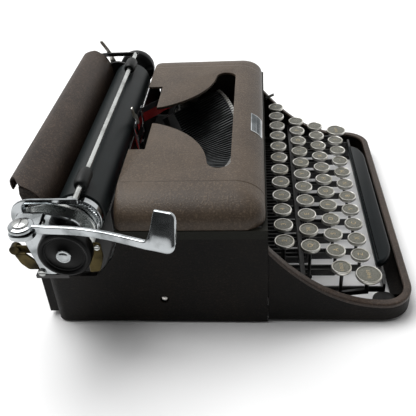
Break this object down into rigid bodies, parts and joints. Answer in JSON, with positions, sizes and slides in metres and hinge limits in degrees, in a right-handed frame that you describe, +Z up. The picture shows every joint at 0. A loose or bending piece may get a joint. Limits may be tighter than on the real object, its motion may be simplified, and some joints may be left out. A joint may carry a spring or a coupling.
{
  "type": "typewriter",
  "caption": "Portable manual typewriter with round glass-topped keys, a front-hinged ribbon cover, a sliding carriage with platen, paper bail and chrome return lever.",
  "frame": {"origin": "middle of the bounding box, on the surface the feet stand on", "axes": "+X to the typist's right, +Y from the keyboard to the back, +Z up"},
  "size_m": [0.3136, 0.267, 0.138],
  "materials": {
    "casing_enamel": "wrinkle enamel",
    "surround_enamel": "wrinkle enamel",
    "cover_enamel": "wrinkle enamel",
    "frame_enamel": "gloss black enamel",
    "typebar_steel": "blackened",
    "key_face": "gloss under glass",
    "shift_face": "gloss under glass",
    "space_bar_plastic": "satin",
    "truck_steel": "satin",
    "carriage_chrome": "polished",
    "platen_rubber": "matte",
    "lever_chrome": "polished",
    "paper_table_enamel": "wrinkle enamel",
    "bail_chrome": "polished",
    "release_chrome": "polished",
    "spool_steel": "satin"
  },
  "bodies": {
    "chassis": {"rear_casing": "casing_enamel", "keyboard_surround": "surround_enamel", "mechanism_frame": "frame_enamel", "type_basket": "typebar_steel"},
    "carriage": {"carriage_truck": "truck_steel"},
    "carriage_top": {"carriage_frame": "carriage_chrome", "paper_table": "paper_table_enamel"},
    "platen": {"platen": "platen_rubber"},
    "return_lever": {"return_lever": "lever_chrome"},
    "paper_bail": {"paper_bail": "bail_chrome"},
    "paper_release": {"paper_release_lever": "release_chrome"},
    "cover": {"ribbon_cover": "cover_enamel"},
    "shift": {"shift_frame": "shift_face"},
    "space_bar": {"space_bar": "space_bar_plastic"},
    "spool_left": {"ribbon_spool_left": "spool_steel"},
    "spool_right": {"ribbon_spool_right": "spool_steel"},
    "number_row_key_01": {"number_row_key_01": "key_face"},
    "number_row_key_02": {"number_row_key_02": "key_face"},
    "number_row_key_03": {"number_row_key_03": "key_face"},
    "number_row_key_04": {"number_row_key_04": "key_face"},
    "number_row_key_05": {"number_row_key_05": "key_face"},
    "number_row_key_06": {"number_row_key_06": "key_face"},
    "number_row_key_07": {"number_row_key_07": "key_face"},
    "number_row_key_08": {"number_row_key_08": "key_face"},
    "number_row_key_09": {"number_row_key_09": "key_face"},
    "number_row_key_10": {"number_row_key_10": "key_face"},
    "number_row_key_11": {"number_row_key_11": "key_face"},
    "number_row_key_12": {"number_row_key_12": "key_face"},
    "upper_row_key_01": {"upper_row_key_01": "key_face"},
    "upper_row_key_02": {"upper_row_key_02": "key_face"},
    "upper_row_key_03": {"upper_row_key_03": "key_face"},
    "upper_row_key_04": {"upper_row_key_04": "key_face"},
    "upper_row_key_05": {"upper_row_key_05": "key_face"},
    "upper_row_key_06": {"upper_row_key_06": "key_face"},
    "upper_row_key_07": {"upper_row_key_07": "key_face"},
    "upper_row_key_08": {"upper_row_key_08": "key_face"},
    "upper_row_key_09": {"upper_row_key_09": "key_face"},
    "upper_row_key_10": {"upper_row_key_10": "key_face"},
    "upper_row_key_11": {"upper_row_key_11": "key_face"},
    "home_row_key_01": {"home_row_key_01": "key_face"},
    "home_row_key_02": {"home_row_key_02": "key_face"},
    "home_row_key_03": {"home_row_key_03": "key_face"},
    "home_row_key_04": {"home_row_key_04": "key_face"},
    "home_row_key_05": {"home_row_key_05": "key_face"},
    "home_row_key_06": {"home_row_key_06": "key_face"},
    "home_row_key_07": {"home_row_key_07": "key_face"},
    "home_row_key_08": {"home_row_key_08": "key_face"},
    "home_row_key_09": {"home_row_key_09": "key_face"},
    "home_row_key_10": {"home_row_key_10": "key_face"},
    "home_row_key_11": {"home_row_key_11": "key_face"},
    "bottom_row_key_01": {"bottom_row_key_01": "key_face"},
    "bottom_row_key_02": {"bottom_row_key_02": "key_face"},
    "bottom_row_key_03": {"bottom_row_key_03": "key_face"},
    "bottom_row_key_04": {"bottom_row_key_04": "key_face"},
    "bottom_row_key_05": {"bottom_row_key_05": "key_face"},
    "bottom_row_key_06": {"bottom_row_key_06": "key_face"},
    "bottom_row_key_07": {"bottom_row_key_07": "key_face"},
    "bottom_row_key_08": {"bottom_row_key_08": "key_face"},
    "bottom_row_key_09": {"bottom_row_key_09": "key_face"},
    "bottom_row_key_10": {"bottom_row_key_10": "key_face"}
  },
  "joints": [
    {"name": "carriage_slide", "type": "slide", "parent": "chassis", "child": "carriage", "axis": [-1, 0, 0], "range_m": [-0.12, 0.082]},
    {"name": "carriage_lift", "type": "slide", "parent": "carriage", "child": "carriage_top", "axis": [0, 0, 1], "range_m": [0, 0.006]},
    {"name": "platen_turn", "type": "hinge", "parent": "carriage_top", "child": "platen", "pos_m": [-0.06969, 0.0921, 0.0983], "axis": [1, 0, 0], "continuous": true},
    {"name": "cover_hinge", "type": "hinge", "parent": "chassis", "child": "cover", "pos_m": [0.03031, -0.028, 0.0853], "axis": [1, 0, 0], "range_deg": [0, 80]},
    {"name": "return_lever_pivot", "type": "hinge", "parent": "carriage_top", "child": "return_lever", "pos_m": [-0.13419, 0.1139, 0.1175], "axis": [0, 0, 1], "range_deg": [0, 25], "stiffness_Nm_per_rad": 0.3, "springref_deg": -8.59},
    {"name": "paper_bail_pivot", "type": "hinge", "parent": "carriage_top", "child": "paper_bail", "pos_m": [0.03031, 0.1245, 0.106], "axis": [-1, 0, 0], "range_deg": [0, 45]},
    {"name": "paper_release_pivot", "type": "hinge", "parent": "carriage_top", "child": "paper_release", "pos_m": [0.12431, 0.1085, 0.108], "axis": [1, 0, 0], "range_deg": [0, 22]},
    {"name": "shift_press", "type": "hinge", "parent": "chassis", "child": "shift", "pos_m": [0.03031, 0.0625, 0.012], "axis": [1, 0, 0], "range_deg": [0, 2.82], "stiffness_Nm_per_rad": 0.8, "springref_deg": -14.32},
    {"name": "space_bar_press", "type": "hinge", "parent": "chassis", "child": "space_bar", "pos_m": [0.03031, 0.0385, 0.01], "axis": [1, 0, 0], "range_deg": [0, 2.2], "stiffness_Nm_per_rad": 1.6, "springref_deg": -6.88},
    {"name": "spool_left_turn", "type": "hinge", "parent": "chassis", "child": "spool_left", "pos_m": [-0.06569, 0.0365, 0.06], "axis": [0, 0, 1], "continuous": true},
    {"name": "spool_right_turn", "type": "hinge", "parent": "chassis", "child": "spool_right", "pos_m": [0.12631, 0.0365, 0.06], "axis": [0, 0, 1], "continuous": true},
    {"name": "number_row_key_01_press", "type": "hinge", "parent": "chassis", "child": "number_row_key_01", "pos_m": [-0.06919, 0.0505, 0.02], "axis": [1, 0, 0], "range_deg": [0, 5.61], "stiffness_Nm_per_rad": 0.376, "springref_deg": -7.01},
    {"name": "number_row_key_02_press", "type": "hinge", "parent": "chassis", "child": "number_row_key_02", "pos_m": [-0.05014, 0.0505, 0.02], "axis": [1, 0, 0], "range_deg": [0, 5.61], "stiffness_Nm_per_rad": 0.376, "springref_deg": -7.01},
    {"name": "number_row_key_03_press", "type": "hinge", "parent": "chassis", "child": "number_row_key_03", "pos_m": [-0.03109, 0.0505, 0.02], "axis": [1, 0, 0], "range_deg": [0, 5.61], "stiffness_Nm_per_rad": 0.376, "springref_deg": -7.01},
    {"name": "number_row_key_04_press", "type": "hinge", "parent": "chassis", "child": "number_row_key_04", "pos_m": [-0.01204, 0.0505, 0.02], "axis": [1, 0, 0], "range_deg": [0, 5.61], "stiffness_Nm_per_rad": 0.376, "springref_deg": -7.01},
    {"name": "number_row_key_05_press", "type": "hinge", "parent": "chassis", "child": "number_row_key_05", "pos_m": [0.00701, 0.0505, 0.02], "axis": [1, 0, 0], "range_deg": [0, 5.61], "stiffness_Nm_per_rad": 0.376, "springref_deg": -7.01},
    {"name": "number_row_key_06_press", "type": "hinge", "parent": "chassis", "child": "number_row_key_06", "pos_m": [0.02606, 0.0505, 0.02], "axis": [1, 0, 0], "range_deg": [0, 5.61], "stiffness_Nm_per_rad": 0.376, "springref_deg": -7.01},
    {"name": "number_row_key_07_press", "type": "hinge", "parent": "chassis", "child": "number_row_key_07", "pos_m": [0.04511, 0.0505, 0.02], "axis": [1, 0, 0], "range_deg": [0, 5.61], "stiffness_Nm_per_rad": 0.376, "springref_deg": -7.01},
    {"name": "number_row_key_08_press", "type": "hinge", "parent": "chassis", "child": "number_row_key_08", "pos_m": [0.06416, 0.0505, 0.02], "axis": [1, 0, 0], "range_deg": [0, 5.61], "stiffness_Nm_per_rad": 0.376, "springref_deg": -7.01},
    {"name": "number_row_key_09_press", "type": "hinge", "parent": "chassis", "child": "number_row_key_09", "pos_m": [0.08321, 0.0505, 0.02], "axis": [1, 0, 0], "range_deg": [0, 5.61], "stiffness_Nm_per_rad": 0.376, "springref_deg": -7.01},
    {"name": "number_row_key_10_press", "type": "hinge", "parent": "chassis", "child": "number_row_key_10", "pos_m": [0.10226, 0.0505, 0.02], "axis": [1, 0, 0], "range_deg": [0, 5.61], "stiffness_Nm_per_rad": 0.376, "springref_deg": -7.01},
    {"name": "number_row_key_11_press", "type": "hinge", "parent": "chassis", "child": "number_row_key_11", "pos_m": [0.12131, 0.0505, 0.02], "axis": [1, 0, 0], "range_deg": [0, 5.61], "stiffness_Nm_per_rad": 0.376, "springref_deg": -7.01},
    {"name": "number_row_key_12_press", "type": "hinge", "parent": "chassis", "child": "number_row_key_12", "pos_m": [0.14036, 0.0505, 0.02], "axis": [1, 0, 0], "range_deg": [0, 5.61], "stiffness_Nm_per_rad": 0.376, "springref_deg": -7.01},
    {"name": "upper_row_key_01_press", "type": "hinge", "parent": "chassis", "child": "upper_row_key_01", "pos_m": [-0.06442, 0.0505, 0.02], "axis": [1, 0, 0], "range_deg": [0, 4.64], "stiffness_Nm_per_rad": 0.548, "springref_deg": -5.8},
    {"name": "upper_row_key_02_press", "type": "hinge", "parent": "chassis", "child": "upper_row_key_02", "pos_m": [-0.04537, 0.0505, 0.02], "axis": [1, 0, 0], "range_deg": [0, 4.64], "stiffness_Nm_per_rad": 0.548, "springref_deg": -5.8},
    {"name": "upper_row_key_03_press", "type": "hinge", "parent": "chassis", "child": "upper_row_key_03", "pos_m": [-0.02633, 0.0505, 0.02], "axis": [1, 0, 0], "range_deg": [0, 4.64], "stiffness_Nm_per_rad": 0.548, "springref_deg": -5.8},
    {"name": "upper_row_key_04_press", "type": "hinge", "parent": "chassis", "child": "upper_row_key_04", "pos_m": [-0.00728, 0.0505, 0.02], "axis": [1, 0, 0], "range_deg": [0, 4.64], "stiffness_Nm_per_rad": 0.548, "springref_deg": -5.8},
    {"name": "upper_row_key_05_press", "type": "hinge", "parent": "chassis", "child": "upper_row_key_05", "pos_m": [0.01178, 0.0505, 0.02], "axis": [1, 0, 0], "range_deg": [0, 4.64], "stiffness_Nm_per_rad": 0.548, "springref_deg": -5.8},
    {"name": "upper_row_key_06_press", "type": "hinge", "parent": "chassis", "child": "upper_row_key_06", "pos_m": [0.03083, 0.0505, 0.02], "axis": [1, 0, 0], "range_deg": [0, 4.64], "stiffness_Nm_per_rad": 0.548, "springref_deg": -5.8},
    {"name": "upper_row_key_07_press", "type": "hinge", "parent": "chassis", "child": "upper_row_key_07", "pos_m": [0.04988, 0.0505, 0.02], "axis": [1, 0, 0], "range_deg": [0, 4.64], "stiffness_Nm_per_rad": 0.548, "springref_deg": -5.8},
    {"name": "upper_row_key_08_press", "type": "hinge", "parent": "chassis", "child": "upper_row_key_08", "pos_m": [0.06893, 0.0505, 0.02], "axis": [1, 0, 0], "range_deg": [0, 4.64], "stiffness_Nm_per_rad": 0.548, "springref_deg": -5.8},
    {"name": "upper_row_key_09_press", "type": "hinge", "parent": "chassis", "child": "upper_row_key_09", "pos_m": [0.08797, 0.0505, 0.02], "axis": [1, 0, 0], "range_deg": [0, 4.64], "stiffness_Nm_per_rad": 0.548, "springref_deg": -5.8},
    {"name": "upper_row_key_10_press", "type": "hinge", "parent": "chassis", "child": "upper_row_key_10", "pos_m": [0.10702, 0.0505, 0.02], "axis": [1, 0, 0], "range_deg": [0, 4.64], "stiffness_Nm_per_rad": 0.548, "springref_deg": -5.8},
    {"name": "upper_row_key_11_press", "type": "hinge", "parent": "chassis", "child": "upper_row_key_11", "pos_m": [0.12607, 0.0505, 0.02], "axis": [1, 0, 0], "range_deg": [0, 4.64], "stiffness_Nm_per_rad": 0.548, "springref_deg": -5.8},
    {"name": "home_row_key_01_press", "type": "hinge", "parent": "chassis", "child": "home_row_key_01", "pos_m": [-0.05966, 0.0505, 0.02], "axis": [1, 0, 0], "range_deg": [0, 3.96], "stiffness_Nm_per_rad": 0.752, "springref_deg": -4.96},
    {"name": "home_row_key_02_press", "type": "hinge", "parent": "chassis", "child": "home_row_key_02", "pos_m": [-0.04061, 0.0505, 0.02], "axis": [1, 0, 0], "range_deg": [0, 3.96], "stiffness_Nm_per_rad": 0.752, "springref_deg": -4.96},
    {"name": "home_row_key_03_press", "type": "hinge", "parent": "chassis", "child": "home_row_key_03", "pos_m": [-0.02156, 0.0505, 0.02], "axis": [1, 0, 0], "range_deg": [0, 3.96], "stiffness_Nm_per_rad": 0.752, "springref_deg": -4.96},
    {"name": "home_row_key_04_press", "type": "hinge", "parent": "chassis", "child": "home_row_key_04", "pos_m": [-0.00251, 0.0505, 0.02], "axis": [1, 0, 0], "range_deg": [0, 3.96], "stiffness_Nm_per_rad": 0.752, "springref_deg": -4.96},
    {"name": "home_row_key_05_press", "type": "hinge", "parent": "chassis", "child": "home_row_key_05", "pos_m": [0.01654, 0.0505, 0.02], "axis": [1, 0, 0], "range_deg": [0, 3.96], "stiffness_Nm_per_rad": 0.752, "springref_deg": -4.96},
    {"name": "home_row_key_06_press", "type": "hinge", "parent": "chassis", "child": "home_row_key_06", "pos_m": [0.03559, 0.0505, 0.02], "axis": [1, 0, 0], "range_deg": [0, 3.96], "stiffness_Nm_per_rad": 0.752, "springref_deg": -4.96},
    {"name": "home_row_key_07_press", "type": "hinge", "parent": "chassis", "child": "home_row_key_07", "pos_m": [0.05464, 0.0505, 0.02], "axis": [1, 0, 0], "range_deg": [0, 3.96], "stiffness_Nm_per_rad": 0.752, "springref_deg": -4.96},
    {"name": "home_row_key_08_press", "type": "hinge", "parent": "chassis", "child": "home_row_key_08", "pos_m": [0.07369, 0.0505, 0.02], "axis": [1, 0, 0], "range_deg": [0, 3.96], "stiffness_Nm_per_rad": 0.752, "springref_deg": -4.96},
    {"name": "home_row_key_09_press", "type": "hinge", "parent": "chassis", "child": "home_row_key_09", "pos_m": [0.09274, 0.0505, 0.02], "axis": [1, 0, 0], "range_deg": [0, 3.96], "stiffness_Nm_per_rad": 0.752, "springref_deg": -4.96},
    {"name": "home_row_key_10_press", "type": "hinge", "parent": "chassis", "child": "home_row_key_10", "pos_m": [0.11179, 0.0505, 0.02], "axis": [1, 0, 0], "range_deg": [0, 3.96], "stiffness_Nm_per_rad": 0.752, "springref_deg": -4.96},
    {"name": "home_row_key_11_press", "type": "hinge", "parent": "chassis", "child": "home_row_key_11", "pos_m": [0.13084, 0.0505, 0.02], "axis": [1, 0, 0], "range_deg": [0, 3.96], "stiffness_Nm_per_rad": 0.752, "springref_deg": -4.96},
    {"name": "bottom_row_key_01_press", "type": "hinge", "parent": "chassis", "child": "bottom_row_key_01", "pos_m": [-0.0549, 0.0505, 0.02], "axis": [1, 0, 0], "range_deg": [0, 3.46], "stiffness_Nm_per_rad": 0.989, "springref_deg": -4.32},
    {"name": "bottom_row_key_02_press", "type": "hinge", "parent": "chassis", "child": "bottom_row_key_02", "pos_m": [-0.03585, 0.0505, 0.02], "axis": [1, 0, 0], "range_deg": [0, 3.46], "stiffness_Nm_per_rad": 0.989, "springref_deg": -4.32},
    {"name": "bottom_row_key_03_press", "type": "hinge", "parent": "chassis", "child": "bottom_row_key_03", "pos_m": [-0.0168, 0.0505, 0.02], "axis": [1, 0, 0], "range_deg": [0, 3.46], "stiffness_Nm_per_rad": 0.989, "springref_deg": -4.32},
    {"name": "bottom_row_key_04_press", "type": "hinge", "parent": "chassis", "child": "bottom_row_key_04", "pos_m": [0.00225, 0.0505, 0.02], "axis": [1, 0, 0], "range_deg": [0, 3.46], "stiffness_Nm_per_rad": 0.989, "springref_deg": -4.32},
    {"name": "bottom_row_key_05_press", "type": "hinge", "parent": "chassis", "child": "bottom_row_key_05", "pos_m": [0.0213, 0.0505, 0.02], "axis": [1, 0, 0], "range_deg": [0, 3.46], "stiffness_Nm_per_rad": 0.989, "springref_deg": -4.32},
    {"name": "bottom_row_key_06_press", "type": "hinge", "parent": "chassis", "child": "bottom_row_key_06", "pos_m": [0.04035, 0.0505, 0.02], "axis": [1, 0, 0], "range_deg": [0, 3.46], "stiffness_Nm_per_rad": 0.989, "springref_deg": -4.32},
    {"name": "bottom_row_key_07_press", "type": "hinge", "parent": "chassis", "child": "bottom_row_key_07", "pos_m": [0.0594, 0.0505, 0.02], "axis": [1, 0, 0], "range_deg": [0, 3.46], "stiffness_Nm_per_rad": 0.989, "springref_deg": -4.32},
    {"name": "bottom_row_key_08_press", "type": "hinge", "parent": "chassis", "child": "bottom_row_key_08", "pos_m": [0.07845, 0.0505, 0.02], "axis": [1, 0, 0], "range_deg": [0, 3.46], "stiffness_Nm_per_rad": 0.989, "springref_deg": -4.32},
    {"name": "bottom_row_key_09_press", "type": "hinge", "parent": "chassis", "child": "bottom_row_key_09", "pos_m": [0.0975, 0.0505, 0.02], "axis": [1, 0, 0], "range_deg": [0, 3.46], "stiffness_Nm_per_rad": 0.989, "springref_deg": -4.32},
    {"name": "bottom_row_key_10_press", "type": "hinge", "parent": "chassis", "child": "bottom_row_key_10", "pos_m": [0.11655, 0.0505, 0.02], "axis": [1, 0, 0], "range_deg": [0, 3.46], "stiffness_Nm_per_rad": 0.989, "springref_deg": -4.32}
  ],
  "couplings": [
    {"joint": "shift_press", "follows": "carriage_lift", "rad_per_m": 8.1333}
  ]
}
